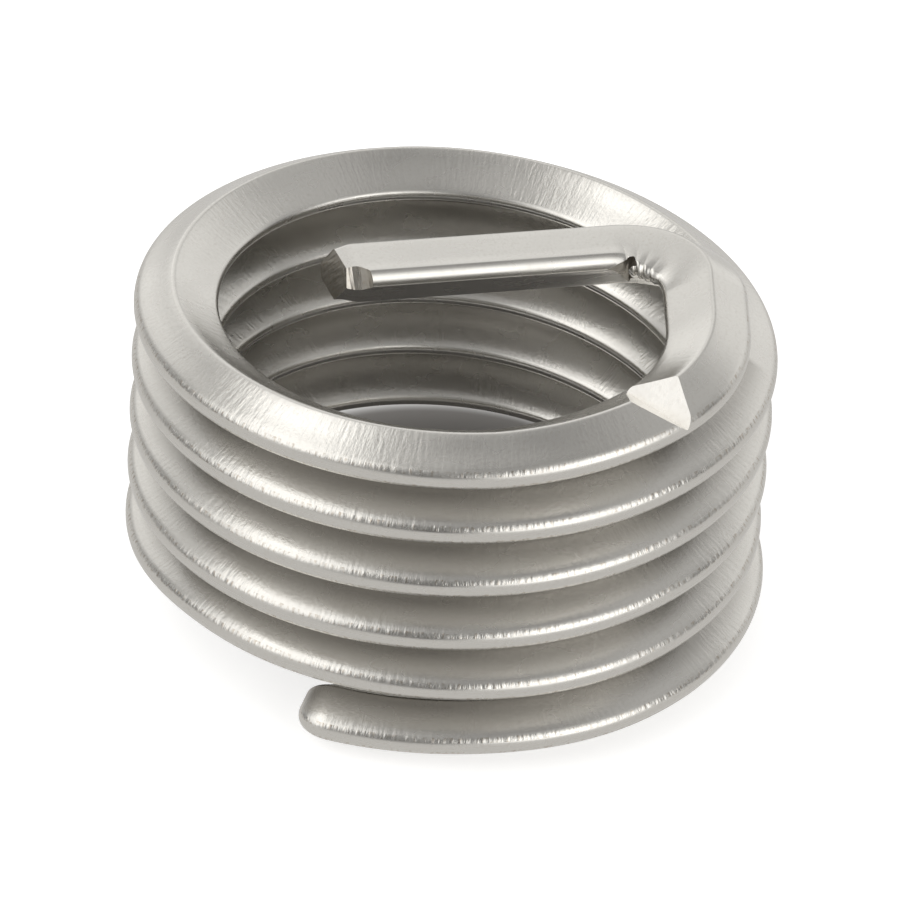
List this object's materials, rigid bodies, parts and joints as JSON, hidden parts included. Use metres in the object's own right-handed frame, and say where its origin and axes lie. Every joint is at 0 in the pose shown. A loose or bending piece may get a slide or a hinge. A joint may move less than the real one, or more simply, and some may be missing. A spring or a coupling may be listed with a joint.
{
  "type": "helical thread insert",
  "caption": "Coil of diamond-section wire that lines a tapped hole, with a driving tang bent across its bore and a break-off notch at the root of the tang.",
  "frame": {"origin": "on the axis of the coil, at the lowest point of the wire", "axes": "+Z along the axis of the coil, from the open end towards the tang; the tang lies across the bore about 16 degrees off the X axis"},
  "size_m": [0.0172, 0.0172, 0.0113],
  "materials": {
    "stainless_wire": "satin rolled wire with fine lengthwise streaks"
  },
  "bodies": {
    "root": {"thread_insert": "stainless_wire"}
  },
  "joints": []
}
